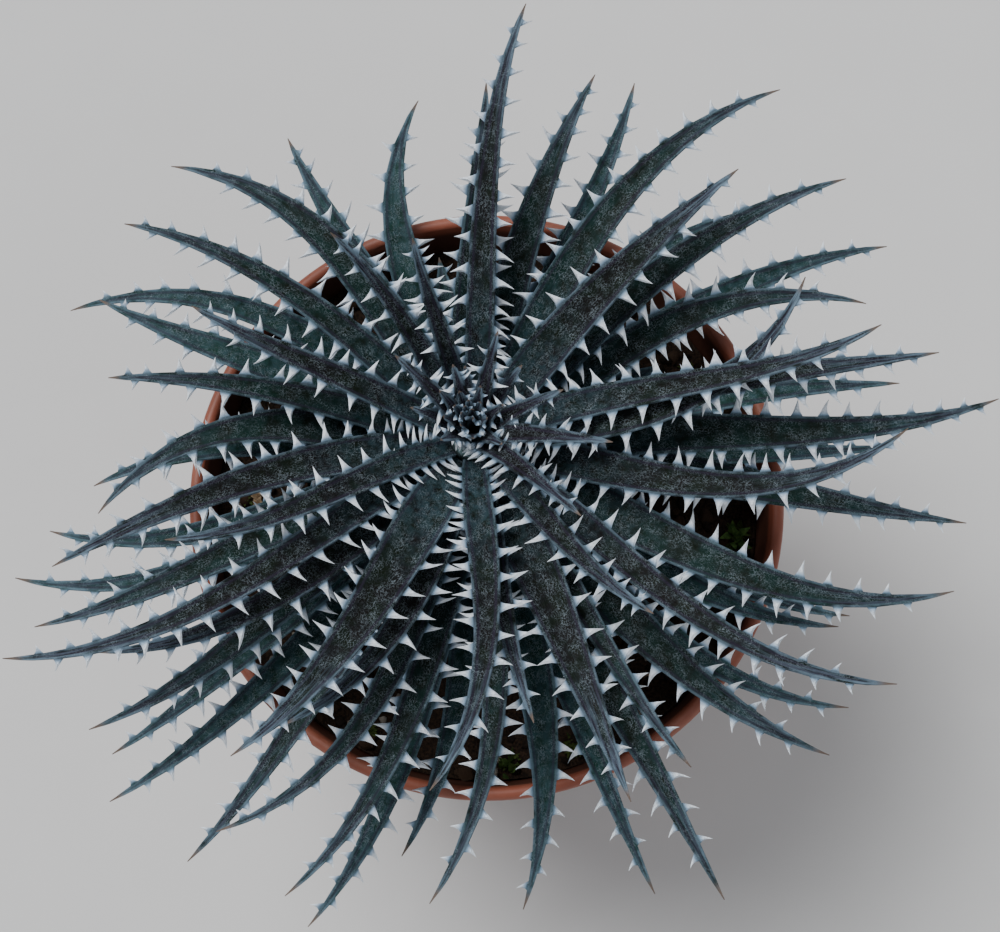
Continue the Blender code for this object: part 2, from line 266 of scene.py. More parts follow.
# Smaller ones fill its middle, from the outermost to the innermost
BUD_LEAVES = 20
BUD_START = (1.4, 0.1)
BUD_REACH = (17.0, 0.8)
BUD_HEIGHT = (17.0, 19.0)
BUD_WIDTH = (4.8, 3.0)
BUD_DRIFT = (-1.5, 3.0)
BUD_FIRST_HEADING = 40
BUD_CROWDING = 0.5
BUD_TEETH = (0.8, 0.35)

# The teeth on a full-grown leaf: length, and distance from one to the next
TOOTH_LENGTH = 4.4
TOOTH_PITCH = 7.6
PITCH_VARIES = (0.90, 1.10)
LENGTH_VARIES = (0.86, 1.12)
PLACE_VARIES = (-0.08, 0.08)
# Where they begin, in pitches, and up to what share of the leaf they go on
TEETH_FROM = 0.3
TEETH_UNTIL = 0.93
TEETH_LAST = 0.985
# Places along a tooth, in halves of its flared foot, and how sharply it narrows
TOOTH_PLACES = (-1, -0.6, -0.36, -0.16, 0, 0.16, 0.36, 0.6, 1)
TOOTH_NARROWING = 1.6
TOOTH_FOOT = 3.1
TOOTH_THICKNESS = 1.4
TOOTH_HOOK = (0.15, 1.05)
TOOTH_THIN_EDGE = 0.31
# How a tooth leans along the leaf and tilts upwards
LEAN_RATE = 1.5
LEAN_TURNS_AT = 0.48
LEAF_LEAN_VARIES = (-0.22, 0.22)
LEAN_VARIES = (-0.14, 0.14)
TILT = 0.10
TILT_VARIES = (-0.16, 0.16)
# Near the stem the teeth are thin and close, as on a comb
COMB_TO = 0.36
COMB_PITCH = 0.31
COMB_FOOT = 0.50
COMB_LENGTH = 0.92
# Towards the point they get shorter again
SHORTEN_FROM = 0.60
SHORTEST = 0.50

# Places across a leaf, from its left margin to its right one, above and below
TOP_PLACES = (-1, -0.8, -0.4, 0, 0.4, 0.8, 1)
LOW_PLACES = (1, 0.6, 0, -0.6, -1)
# The whole way round its section: place across, face (1 above, -1 beneath), and share of a tooth
SECTION = (
    *((place, 1, 0) for place in TOP_PLACES),
    *((1, 1, 0.5), (1, 0, 1), (1, -1, 0.5)),
    *((place, -1, 0) for place in LOW_PLACES),
    *((-1, -1, 0.5), (-1, 0, 1), (-1, 1, 0.5)),
)
# Shares of a leaf's length past the last tooth, where its needle gets its own points
NEEDLE_POINTS = (0.945, 0.965, 0.982, 0.994, 1.0)
LENGTH_SAMPLES = 160
LOOK_ASIDE = 0.004

# How much powder lies near a leaf's edges and root, how much over the rest, and how silvery the
# streaks are on its outer half
OLD_SCURF = (0.75, 0.42, 0.20)
LEAF_SCURF = (0.62, 0.10, 0.30)
NEW_SCURF = (0.60, 0.03, 0.55)
HEART_SCURF = (0.30, 0.0, 0.50)

# Each group of pieces has its own row of random draws
SOIL_SEED = 21
LITTER_SEED = 33
STEM_SEED = 8
LEAF_SEED = 100
UNDER_DRAWS = 77
UNDER_SEED = 200
HEART_SEED = 300
BUD_SEED = 400

# The camera looks at a point a little off the pot's axis, level with the rim
CAMERA_AIM = (0.0033, 0.0089, 0.115)
CAMERA_ELEVATION = math.radians(79.2)
CAMERA_DISTANCE = 0.65
CAMERA_LENS = 93.0
SENSOR = 36.0

# Broad soft lamps far away: name, where it stands, how many degrees wide, and its power
LAMPS = (
    ("key_light", (-0.75, 0.65, 1.6), 30, 3.4),
    ("fill_light", (1.1, -0.9, 1.0), 60, 0.35),
)
WORLD_LIGHT = 0.42
WORLD_COLOUR = (0.92, 0.95, 1.0, 1)
FLOOR_REACH = 15.0


def between(pair, share):
    return pair[0] + (pair[1] - pair[0]) * share


def turn_to(heading, start):
    """The heading written so that it lies within half a turn of the start."""
    return start + (heading - start + 180) % 360 - 180


def smooth(low, high, value):
    share = np.clip((value - low) / (high - low), 0, 1)
    return share * share * (3 - 2 * share)


def unit(vectors):
    return vectors / np.linalg.norm(vectors, axis=-1, keepdims=True)


def stem_radius(height):
    share = min(1, max(0, (height - SOIL_TOP) / (STEM_TOP - SOIL_TOP)))
    return between((STEM_FOOT_RADIUS, STEM_TOP_RADIUS), share)


def wall_radius(height):
    return between((POT_BOTTOM_RADIUS, POT_TOP_RADIUS), height / POT_HEIGHT)


def soil_height(x, y):
    """The soil's surface: a low mound round the stem, with shallow dips."""
    away = np.hypot(x - STEM_X, y - STEM_Y)
    mound = MOUND_HEIGHT * np.exp(-((away / MOUND_REACH) ** 2))
    dips = np.sin(x * 0.13 + 1.1) * np.cos(y * 0.11) * SOIL_UNEVEN
    return SOIL_TOP - SOIL_LOWERED + mound + dips


def round_stem(radius, turn, height):
    """Points at a radius and an angle round the stem's axis."""
    return np.stack(
        (STEM_X + radius * np.cos(turn), STEM_Y + radius * np.sin(turn), height), axis=-1
    )


def arched(heading, root_radius, root_height, out, rise, droop, bend=0, sweep=0):
    """A leaf's middle line, which rises and bends over: points for shares u of its way out."""

    def centre(u):
        away = out * u
        turn = np.radians(heading + bend * u + sweep * u * u)
        height = root_height + rise * away - droop * away * away
        return round_stem(root_radius + away, turn, height)

    return centre


def leaf_centre(order):
    """The middle line of a leaf on the stem, through the headings that its row gives."""
    half_heading, tip_heading, reach, _ = LEAVES[order]
    age = order / (len(LEAVES) - 1)
    root_height = LOWEST_ROOT + ROOT_STEP * order
    root_radius = stem_radius(root_height) + ROOT_GAP
    golden_heading = FIRST_HEADING - GOLDEN_ANGLE * order
    lean = turn_to(half_heading, golden_heading) - golden_heading
    root_heading = golden_heading + ROOT_PULL * lean
    half_turn = turn_to(half_heading, root_heading) - root_heading
    tip_turn = turn_to(tip_heading, root_heading) - root_heading
    rise = between(ROOT_RISE, age) + max(0, SHORT_REACH - reach) * SHORT_RISE
    return arched(
        root_heading, root_radius, root_height, reach - root_radius, rise, between(DROOP, age),
        bend=4 * half_turn - tip_turn, sweep=2 * tip_turn - 4 * half_turn
    )


def under_centre(number, reach):
    """The middle line of a short leaf low on the stem."""
    heading = UNDER_FIRST_HEADING + GOLDEN_ANGLE * number
    root_height = UNDER_ROOT + UNDER_STEP * number
    root_radius = stem_radius(root_height) - UNDER_SUNK
    return arched(heading, root_radius, root_height, reach - root_radius, UNDER_RISE, UNDER_DROOP)


def stub_centre(number, reach, rise):
    """The middle line of a dry stub that clasps the stem's foot."""
    heading = GOLDEN_ANGLE * number
    root_height = STUB_ROOT + STUB_STEP * number
    droop = STUB_BEND / reach**2
    return arched(heading, STEM_FOOT_RADIUS - STUB_SUNK, root_height, reach, rise, droop)


def heart_centre(heading, reach, height, start=1.5, drift=(0, 0)):
    """The middle line of a young leaf: out of the bud, nearly upright, then outwards."""
    turn = math.radians(heading)

    def centre(u):
        radius = start + (reach - start) * (0.45 * u + 0.55 * u * u)
        rise = (height - HEART_ROOT + HEART_FOOT) * (1.25 * u - 0.25 * u * u)
        return round_stem(radius, turn, HEART_ROOT + rise) + u[..., None] * (*drift, 0)

    return centre


def room_in_pot(heading):
    """How far a leaf can reach from the stem's axis before it comes near the pot's wall."""
    turn = math.radians(heading)
    towards = STEM_X * math.cos(turn) + STEM_Y * math.sin(turn)
    clear = wall_radius(SOIL_TOP) - POT_WALL - UNDER_CLEARANCE
    return math.sqrt(towards**2 + clear**2 - STEM_X**2 - STEM_Y**2) - towards


def half_width(u, width):
    """Narrow where it clasps the stem, broadest at WIDEST, then tapering to the needle's point."""
    root = min(ROOT_WIDTH * width, ROOT_MOST)
    opening = root + (width - root) * np.sin(np.pi / 2 * np.clip(u / WIDEST, 0, 1))
    share = np.clip((u - WIDEST) / (NEEDLE_FROM - WIDEST), 0, 1)
    taper = NEEDLE_WIDTH + (width - NEEDLE_WIDTH) * (1 - share**TAPER)
    point = 1 - smooth(NEEDLE_FROM, NEEDLE_END, u)
    return np.where(u < WIDEST, opening, taper) / 2 * point


def tooth_columns(length, size, pitch, draw):
    """Columns along a leaf, for its left and its right margin.

    Each is a share u of the leaf's length, with the height of the tooth there, how far its point
    leans along the leaf, and its tilt.
    """
    middles = []
    along = pitch * TEETH_FROM
    while along < TEETH_UNTIL * length:
        grown = smooth(0, COMB_TO, along / length)
        step = pitch * between((COMB_PITCH, 1.0), grown)
        middles.append((along, step))
        along += step * draw.uniform(*PITCH_VARIES)
    last = TEETH_LAST * length
    leaf_lean = draw.uniform(*LEAF_LEAN_VARIES)
    sides = []
    for shift in (0.0, 0.5):
        columns = [(0.0, 0.0, 0.0, 0.0)]
        for along, step in middles:
            middle = min(last - step * 0.5, along + step * (shift + draw.uniform(*PLACE_VARIES)))
            u = middle / length
            grown = smooth(0, COMB_TO, u)
            short = between((1.0, SHORTEST), smooth(SHORTEN_FROM, 1.0, u))
            tall = size * between((COMB_LENGTH, 1.0), grown) * short * draw.uniform(*LENGTH_VARIES)
            foot = TOOTH_FOOT * pitch / TOOTH_PITCH * between((COMB_FOOT, 1.0), grown)
            half = min(foot * (0.4 + 0.6 * short) / 2, step * 0.47)
            lean = LEAN_RATE * (u - LEAN_TURNS_AT) + leaf_lean + draw.uniform(*LEAN_VARIES)
            tilt = TILT + draw.uniform(*TILT_VARIES)
            for place in TOOTH_PLACES:
                high = tall * (1 - abs(place)) ** TOOTH_NARROWING
                columns.append((middle + place * half, high, lean, tilt))
        for share in NEEDLE_POINTS:
            columns.append((max(share * length, columns[-1][0] + 0.05), 0, 0, 0))
        side = np.array(columns)
        side[:, 0] = np.minimum(np.maximum.accumulate(side[:, 0]) / length, 1.0)
        sides.append(side)
    return sides


def leaf_shape(centre, width, size, pitch, seed):
    """Points, faces and surface values of one toothed leaf, in millimetres.

    The values are the distance beyond the margin, the share along the leaf, whether a point is
    beneath, and a flat coordinate for the patterns on the skin.
    """
    samples = centre(np.linspace(0, 1, LENGTH_SAMPLES))
    length = float(np.linalg.norm(np.diff(samples, axis=0), axis=1).sum())
    left, right = tooth_columns(length, size, pitch, random.Random(seed))
    across_at, face_at, reach_at = np.array(SECTION, float).T
    mix = (across_at + 1) / 2
    u = left[:, :1] * (1 - mix) + right[:, :1] * mix
    tooth, lean, tilt = (
        np.where(across_at > 0, right[:, [held]], left[:, [held]]) for held in (1, 2, 3)
    )
    tooth = tooth * reach_at
    on_tooth = reach_at > 0
    middle = centre(u)
    along = unit(centre(np.minimum(u + LOOK_ASIDE, 1)) - centre(np.maximum(u - LOOK_ASIDE, 0)))
    across = unit(np.stack((along[..., 1], -along[..., 0], 0 * along[..., 0]), axis=-1))
    up = np.cross(across, along)
    wide = half_width(u, width)
    thin = np.clip(wide / THIN_BELOW, THINNEST, 1)
    margin = MARGIN * thin
    raised = CHANNEL * wide
    keel = KEEL * thin + KEEL_SWELL * width * (1 - u) * np.minimum(1, 0.5 + 2 * u)
    off = np.abs(across_at)
    top = raised * off**TOP_CURVE
    low = -keel + (raised - margin + keel) * off**LOW_CURVE
    standing = np.minimum(1, tooth / (0.5 * size))
    flank = margin * TOOTH_THIN_EDGE + (TOOTH_THICKNESS / 2 - margin * TOOTH_THIN_EDGE) * standing
    tooth_up = raised - margin / 2 + face_at * flank + tooth * tilt
    upward = np.where(on_tooth, tooth_up, np.where(face_at > 0, top, low))
    bulge = np.where(on_tooth, MARGIN_BULGE * reach_at * thin, 0)
    hand = np.sign(across_at)
    sideways = across_at * wide + hand * (tooth + bulge)
    hook = lean * tooth * between(TOOTH_HOOK, tooth / size)
    points = middle + across * sideways[..., None] + up * upward[..., None]
    points = points + along * hook[..., None]
    apart = seed % 97 * 137.0
    line = (u * length + apart, across_at * wide + hand * tooth, upward)
    values = {
        "beyond": np.where(on_tooth, tooth + bulge, (off - 1) * wide),
        "along": u,
        "underside": np.where(face_at < 0, 1.0, 0.0) + 0 * u,
        "line": np.stack(line, axis=-1),
    }
    count, ring = u.shape
    column, slot = np.meshgrid(np.arange(count - 1), np.arange(ring), indexing="ij")
    after = (slot + 1) % ring
    start, end = column * ring, (column + 1) * ring
    faces = np.stack((start + slot, start + after, end + after, end + slot), axis=-1)
    caps = [list(range(ring))[::-1], list(range((count - 1) * ring, count * ring))]
    return points.reshape(-1, 3), faces.reshape(-1, 4).tolist() + caps, values


def joined(shapes):
    """Several shapes of points, faces and values made into one."""
    points, faces, values = [], [], {}
    start = 0
    for part_points, part_faces, part_values in shapes:
        points.append(part_points)
        faces += [[corner + start for corner in face] for face in part_faces]
        for key, value in part_values.items():
            width = 3 if key == "line" else 1
            values.setdefault(key, []).append(np.reshape(value, (-1, width)))
        start += len(part_points)
    return np.concatenate(points), faces, {k: np.concatenate(v) for k, v in values.items()}


def mesh_of(name, shape):
    """A mesh of a shape in millimetres, with its values kept on the points for the materials."""
    points, faces, values = shape
    mesh = bpy.data.meshes.new(name)
    mesh.from_pydata((np.asarray(points) * MM).tolist(), [], faces)
    for value_name, value in values.items():
        kind, key = ("FLOAT_VECTOR", "vector") if value_name == "line" else ("FLOAT", "value")
        held = mesh.attributes.new(value_name, kind, "POINT")
        held.data.foreach_set(key, np.asarray(value, np.float32).reshape(-1))
    mesh.validate()
    return mesh


def simple_mesh(name, create, **size):
    """A mesh that one of the bmesh operators makes."""
    mesh = bpy.data.meshes.new(name)
    sheet = bmesh.new()
    create(sheet, **size)
    sheet.to_mesh(mesh)
    sheet.free()
    return mesh


def turn_outwards(mesh):
    sheet = bmesh.new()
    sheet.from_mesh(mesh)
    bmesh.ops.recalc_face_normals(sheet, faces=sheet.faces)
    sheet.to_mesh(mesh)
    sheet.free()


def add_object(name, data):
    made = bpy.data.objects.new(name, data)
    bpy.context.scene.collection.objects.link(made)
    return made


def add_piece(name, mesh, slot, material, *nodes, smooth_under=60):
    """A piece that rides with the plant, takes the given material and stands for some nodes; its
    slot is not used.
    """
    piece = add_object(name, mesh)
    mesh.shade_smooth()
    mesh.set_sharp_from_angle(angle=math.radians(smooth_under))
    mesh.materials.append(material)
    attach(piece, "root")
    if nodes:
        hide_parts(*nodes)


def add_node(tree, kind, links, **settings):
    """A shader node with its settings, and its inputs set to values or joined to other sockets."""
    node = tree.nodes.new(kind)
    for key, value in settings.items():
        setattr(node, key, value)
    for socket, value in links.items():
        if isinstance(value, bpy.types.NodeSocket):
            tree.links.new(value, node.inputs[socket])
        else:
            node.inputs[socket].default_value = value
    return node


def calculate(tree, operation, first, second=0.0, third=0.0, clamp=False):
    links = {0: first, 1: second, 2: third}
    node = add_node(tree, "ShaderNodeMath", links, operation=operation, use_clamp=clamp)
    return node.outputs[0]


def times(tree, first, second, clamp=False):
    return calculate(tree, "MULTIPLY", first, second, clamp=clamp)


def inverse(tree, share):
    return calculate(tree, "SUBTRACT", 1.0, share)


def step_up(tree, value, low, high):
    """A soft step from 0 to 1 as the value goes from low to high."""
    links = {"Value": value, "From Min": low, "From Max": high}
    node = add_node(tree, "ShaderNodeMapRange", links, interpolation_type="SMOOTHSTEP")
    return node.outputs["Result"]


def blend(tree, share, first, second):
    """From the first colour to the second; each is a socket, or red, green and blue."""
    links = {"Factor": share}
    for place, colour in ((6, first), (7, second)):
        is_socket = isinstance(colour, bpy.types.NodeSocket)
        links[place] = colour if is_socket else (*colour, 1)
    return add_node(tree, "ShaderNodeMix", links, data_type="RGBA").outputs[2]


def stretched(tree, vector, scale):
    links = {"Vector": vector, "Scale": scale}
    return add_node(tree, "ShaderNodeMapping", links).outputs["Vector"]


def noise(tree, vector, scale, detail=2.0, roughness=0.5):
    links = {"Vector": vector, "Scale": scale, "Detail": detail, "Roughness": roughness}
    return add_node(tree, "ShaderNodeTexNoise", links).outputs["Fac"]


def value_on(tree, name, output="Fac"):
    return add_node(tree, "ShaderNodeAttribute", {}, attribute_name=name).outputs[output]


def place_on(tree):
    return add_node(tree, "ShaderNodeTexCoord", {}).outputs["Object"]


def new_group(name, values, outputs):
    """An empty shared effect: it takes a Vector and some values, and puts out numbers."""
    group = bpy.data.node_groups.new(name, "ShaderNodeTree")
    group.interface.new_socket("Vector", in_out="INPUT", socket_type="NodeSocketVector")
    for value, default in values.items():
        socket = group.interface.new_socket(value, in_out="INPUT", socket_type="NodeSocketFloat")
        socket.default_value = default
    for output in outputs:
        group.interface.new_socket(output, in_out="OUTPUT", socket_type="NodeSocketFloat")
    entry = group.nodes.new("NodeGroupInput")
    leave = group.nodes.new("NodeGroupOutput")
    return group, entry.outputs, leave.inputs


def worm_scales(name):
    """Fine winding pale lines, as the scales on the leaves make, in coordinates of millimetres."""
    values = {"Fineness": 2.0, "Thickness": 0.05, "Cover": 0.5}
    group, given, result = new_group(name, values, ("Mask", "Height"))
    winding = noise(group, given["Vector"], given["Fineness"], 3.0, 0.6)
    away = calculate(group, "ABSOLUTE", calculate(group, "SUBTRACT", winding, 0.5))
    line = inverse(group, step_up(group, away, 0.0, given["Thickness"]))
    patches = noise(group, given["Vector"], 0.35, 2.0, 0.6)
    kept = step_up(group, patches, calculate(group, "SUBTRACT", 0.95, given["Cover"]), 0.75)
    group.links.new(times(group, line, kept, clamp=True), result["Mask"])
    group.links.new(line, result["Height"])
    return group


def fine_lines(name):
    """Streaks that run the length of a leaf, with tiny cross cracks, in millimetres."""
    group, given, result = new_group(name, {"Fineness": 3.0}, ("Streaks", "Cracks"))
    drawn_out = stretched(group, given["Vector"], (0.06, 1.0, 1.0))
    streaks = noise(group, drawn_out, given["Fineness"])
    cracks = noise(group, stretched(group, given["Vector"], (1.2, 0.35, 1.0)), 2.2, 3.0, 0.65)
    group.links.new(step_up(group, streaks, 0.40, 0.62), result["Streaks"])
    group.links.new(step_up(group, cracks, 0.56, 0.66), result["Cracks"])
    return group


def grit(name):
    """Grains and pores of a rough dull surface, in metres."""
    group, given, result = new_group(name, {"Grain": 900.0}, ("Shade", "Height"))
    broad = noise(group, given["Vector"], times(group, given["Grain"], 0.12), 4.0)
    fine = noise(group, given["Vector"], given["Grain"], 3.0, 0.6)
    group.links.new(broad, result["Shade"])
    group.links.new(fine, result["Height"])
    return group


def use_group(tree, make, **links):
    """The outputs of a shared effect, which is made once and used with this material's values."""
    group = bpy.data.node_groups.get(make.__name__) or make(make.__name__)
    return add_node(tree, "ShaderNodeGroup", links, node_tree=group).outputs


def new_material(name, specular, roughness=0.5):
    """A material, its node tree and its one Principled shader."""
    material = bpy.data.materials.new(name)
    material.use_nodes = True
    shader = material.node_tree.nodes["Principled BSDF"]
    shader.inputs["Roughness"].default_value = roughness
    shader.inputs["Specular IOR Level"].default_value = specular
    return material, material.node_tree, shader


def dress(tree, shader, colour, bump, rough=None):
    """Gives a shader its colour, its bump (height, depth in metres, strength) and roughness."""
    tree.links.new(colour, shader.inputs["Base Color"])
    links = dict(zip(("Height", "Distance", "Strength"), bump))
    normal = add_node(tree, "ShaderNodeBump", links).outputs["Normal"]
    tree.links.new(normal, shader.inputs["Normal"])
    if rough is not None:
        tree.links.new(rough, shader.inputs["Roughness"])


def leaf_material(name, top, patch, scurf, settings):
    """Leaf skin: dark above with pale winding scales, silvery and streaked beneath, white teeth."""
    near_margins, all_over, silver = scurf
    material, tree, shader = new_material(name, specular=0.10)
    beyond = value_on(tree, "beyond")
    along = value_on(tree, "along")
    line = value_on(tree, "line", "Vector")
    scales = use_group(tree, worm_scales, Vector=stretched(tree, line, (0.75, 1.0, 1.0)),
                       Fineness=1.6, Thickness=0.045, Cover=0.66)
    lines = use_group(tree, fine_lines, Vector=line, Fineness=2.2)

    # Above: two dark colours in broad patches
    broad = step_up(tree, noise(tree, line, 0.12, 3.0, 0.6), 0.42, 0.60)
    above = blend(tree, broad, top, patch)
    # Cloudy powder, thickest by the root
    near_edge = times(tree, step_up(tree, beyond, -3.0, -0.3), 0.12)
    near_root = times(tree, inverse(tree, step_up(tree, along, 0.02, 0.45)), 0.9)
    powder = calculate(tree, "ADD", near_edge, near_root)
    powder = calculate(tree, "MULTIPLY_ADD", powder, near_margins, all_over)
    cloud = step_up(tree, noise(tree, line, 0.45, 4.0, 0.65), 0.30, 0.68)
    powder = times(tree, powder, cloud, clamp=True)
    above = blend(tree, powder, above, settings.scurf_colour)
    # The winding scales, and silver streaks on the outer half
    above = blend(tree, times(tree, scales["Mask"], 0.62), above, settings.scale_colour)
    outer = times(tree, step_up(tree, along, 0.60, 0.98), lines["Streaks"])
    above = blend(tree, times(tree, outer, silver), above, settings.under_colour)

    # Beneath: silver with dark lines and cracks
    below = blend(tree, lines["Streaks"], settings.under_dark, settings.under_colour)
    below = blend(tree, times(tree, lines["Cracks"], 0.7), below, settings.under_dark)
    skin = blend(tree, value_on(tree, "underside"), above, below)

    # A thin dark line inside the margin, the worn pale margin itself, and the dry needle
    inner = times(tree, step_up(tree, beyond, -1.5, -0.8),
                  inverse(tree, step_up(tree, beyond, -0.7, -0.4)))
    skin = blend(tree, times(tree, inner, 0.5), skin, settings.rim_colour)
    worn_edge = step_up(tree, noise(tree, line, 0.25, 2.0, 0.5), 0.34, 0.60)
    edge = times(tree, step_up(tree, beyond, -0.6, -0.1), worn_edge)
    skin = blend(tree, times(tree, edge, 0.35), skin, settings.under_colour)
    needle = step_up(tree, along, 0.955, 0.985)
    skin = blend(tree, needle, skin, settings.needle_colour)

    # The teeth: their own bluish colour at the foot, painted dim there as shade, then whiter
    # towards the point as a painted highlight, with worn spots
    foot = step_up(tree, beyond, 0.05, 0.9)
    worn = times(tree, noise(tree, line, 1.4, 3.0, 0.6), 0.3)
    white = blend(tree, worn, settings.tooth_colour, settings.tooth_blue_and_painted_shade)
    colour = blend(tree, foot, skin, settings.tooth_blue_and_painted_shade)
    colour = blend(tree, step_up(tree, beyond, 0.4, 1.9), colour, white)
    rough = add_node(tree, "ShaderNodeMix", {"Factor": foot, 2: 0.60, 3: 0.42}).outputs[0]
    raised = calculate(tree, "ADD", scales["Height"], times(tree, lines["Streaks"], 0.8))
    dress(tree, shader, colour, (raised, 0.00012, 0.7), rough)
    return material


def pot_material(settings):
    """Terracotta-coloured plastic: matte, mottled, dusty low down, and much darker on the inner
    wall below the rim.
    """
    material, tree, shader = new_material("pot_plastic", specular=0.45)
    place = place_on(tree)
    grains = use_group(tree, grit, Vector=place, Grain=1400.0)
    shade = step_up(tree, grains["Shade"], 0.35, 0.70)
    colour = blend(tree, times(tree, shade, 0.3), settings.colour, settings.faded)

    height = add_node(tree, "ShaderNodeSeparateXYZ", {0: place}).outputs["Z"]
    low = inverse(tree, step_up(tree, height, 0.0, 0.022))
    cloud = step_up(tree, noise(tree, place, 60.0, 5.0, 0.65), 0.42, 0.72)
    dust = calculate(tree, "ADD", times(tree, low, 0.7), 0.12)
    dust = times(tree, dust, cloud, clamp=True)
    colour = blend(tree, dust, colour, settings.dust)

    # Inside is what lies nearer to the axis than the middle of the wall
    flat = stretched(tree, place, (1, 1, 0))
    out = add_node(tree, "ShaderNodeVectorMath", {0: flat}, operation="LENGTH").outputs["Value"]
    wall = times(tree, height, (POT_TOP_RADIUS - POT_BOTTOM_RADIUS) / POT_HEIGHT)
    depth = calculate(tree, "SUBTRACT", calculate(tree, "SUBTRACT", out, wall),
                      (POT_BOTTOM_RADIUS - POT_WALL * 0.6) * MM)
    within = calculate(tree, "LESS_THAN", depth, 0.0)
    below_rim = inverse(tree, step_up(tree, height, (POT_HEIGHT - 5.0) * MM,
                                      (POT_HEIGHT - 1.5) * MM))
    # The inner wall below the rim is painted much darker
    darkened_inside = times(tree, times(tree, within, below_rim), 0.85)
    colour = blend(tree, darkened_inside, colour, settings.inner_wall_dark)
    links = {"Value": grains["Shade"], "To Min": 0.42, "To Max": 0.62}
    rough = add_node(tree, "ShaderNodeMapRange", links).outputs["Result"]
    dress(tree, shader, colour, (grains["Height"], 0.00005, 0.6), rough)
    return material


def dull_material(name, dark, pale, grain, depth, spread=(0.35, 0.65)):
    """Soil, bark, stones and dry scraps: two colours in grains, rough all over."""
    material, tree, shader = new_material(name, specular=0.2, roughness=0.92)
    grains = use_group(tree, grit, Vector=place_on(tree), Grain=grain)
    share = step_up(tree, grains["Height"], *spread)
    dress(tree, shader, blend(tree, share, dark, pale), (grains["Height"], depth, 0.9))
    return material


def stage_material():
    material, tree, shader = new_material("stage_paper", specular=0.2, roughness=0.85)
    shade = noise(tree, place_on(tree), 40.0, 3.0, 0.5)
    colour = blend(tree, shade, (0.60, 0.60, 0.595), (0.63, 0.63, 0.625))
    tree.links.new(colour, shader.inputs["Base Color"])
    return material


def colour_property(name, description, default):
    return bpy.props.FloatVectorProperty(
        name=name, description=description, default=default, size=3, min=0, max=1, subtype="COLOR"
    )


def length_property(name, description, default):
    return bpy.props.FloatProperty(
        name=name, description=description, default=default, min=0, unit="LENGTH", precision=4
    )


class DyckiaPotSettings(bpy.types.PropertyGroup):
    """Colours of the pot's plastic"""

    colour: colour_property("Plastic", "Colour of the pot", (0.23, 0.062, 0.034))
    faded: colour_property("Faded", "Where the plastic has faded", (0.29, 0.092, 0.055))
    # Colour that the inner wall below the rim is darkened to
    inner_wall_dark: colour_property("Dark inner wall", "Inner wall below the rim, much darker", (0.030, 0.014, 0.009))
    dust: colour_property("Dust", "Dried water marks and dust", (0.42, 0.30, 0.23))


class DyckiaSoilSettings(bpy.types.PropertyGroup):
    """Sizes and colours of the potting soil"""

    grains: bpy.props.IntProperty(name="Grains", description="Loose grains", default=900, min=0)
    grain_size: length_property("Grain size", "Width of a usual grain", 0.0024)
    peat: colour_property("Peat", "Colour of the fine soil", (0.010, 0.0065, 0.0045))
    bark: colour_property("Bark", "Colour of bark and fibre", (0.035, 0.020, 0.012))
    stone: colour_property("Stone", "Colour of pumice grains", (0.20, 0.18, 0.155))


class DyckiaLeafSettings(bpy.types.PropertyGroup):
    """Sizes and colours of the leaves and their teeth"""

    tooth: length_property("Tooth length", "Length of the longest teeth", TOOTH_LENGTH * MM)
    pitch: length_property(
        "Tooth pitch", "From tooth to tooth on the outer part of a leaf", TOOTH_PITCH * MM
    )
    old_top: colour_property("Old leaf", "Upper side of an old leaf", (0.003, 0.017, 0.012))
    old_patch: colour_property("Old patches", "Patches on an old leaf", (0.006, 0.030, 0.020))
    top_colour: colour_property("Leaf", "Upper side of a leaf", (0.005, 0.0085, 0.004))
    young_top: colour_property("Young leaf", "Upper side of a young leaf", (0.006, 0.005, 0.005))
    scale_colour: colour_property("Scales", "Fine winding scales", (0.32, 0.39, 0.44))
    scurf_colour: colour_property("Scurf", "Powder near root and margins", (0.050, 0.104, 0.130))
    under_colour: colour_property("Underside", "Silvery underside", (0.20, 0.29, 0.38))
    under_dark: colour_property("Underside lines", "Dark lines beneath", (0.02, 0.026, 0.042))
    rim_colour: colour_property("Margin", "Thin line inside the margin", (0.030, 0.022, 0.045))
    needle_colour: colour_property("Needle", "Dry point of a leaf", (0.15, 0.115, 0.095))
    # The teeth are pale and bluish at the foot; their dim foot is painted shade and their white
    # point a painted highlight
    tooth_colour: colour_property("Tooth", "White of the teeth", (0.90, 0.95, 1.0))
    # Bluish foot of a tooth, darkened as painted shade; also the colour of worn spots
    tooth_blue_and_painted_shade: colour_property("Tooth shade", "Bluish shade of the teeth", (0.26, 0.38, 0.52))


def turned(name, profile, steps, drills=()):
    """A mesh turned round +Z from a profile in millimetres, with the drills cut out of it."""
    mesh = bpy.data.meshes.new(name)
    points = [(radius * MM, 0, height * MM) for radius, height in profile]
    mesh.from_pydata(points, [(i, i + 1) for i in range(len(points) - 1)], [])
    helper = add_object(name, mesh)
    screw = helper.modifiers.new("Turn", "SCREW")
    screw.steps = screw.render_steps = steps
    screw.use_merge_vertices = True
    screw.merge_threshold = 0.00001
    for drill in drills:
        cut = helper.modifiers.new("Drain", "BOOLEAN")
        cut.operation = "DIFFERENCE"
        cut.object = drill
    bpy.context.view_layer.update()
    graph = bpy.context.evaluated_depsgraph_get()
    made = bpy.data.meshes.new_from_object(helper.evaluated_get(graph))
    for used in (helper, *drills):
        bpy.data.objects.remove(used)
    return made


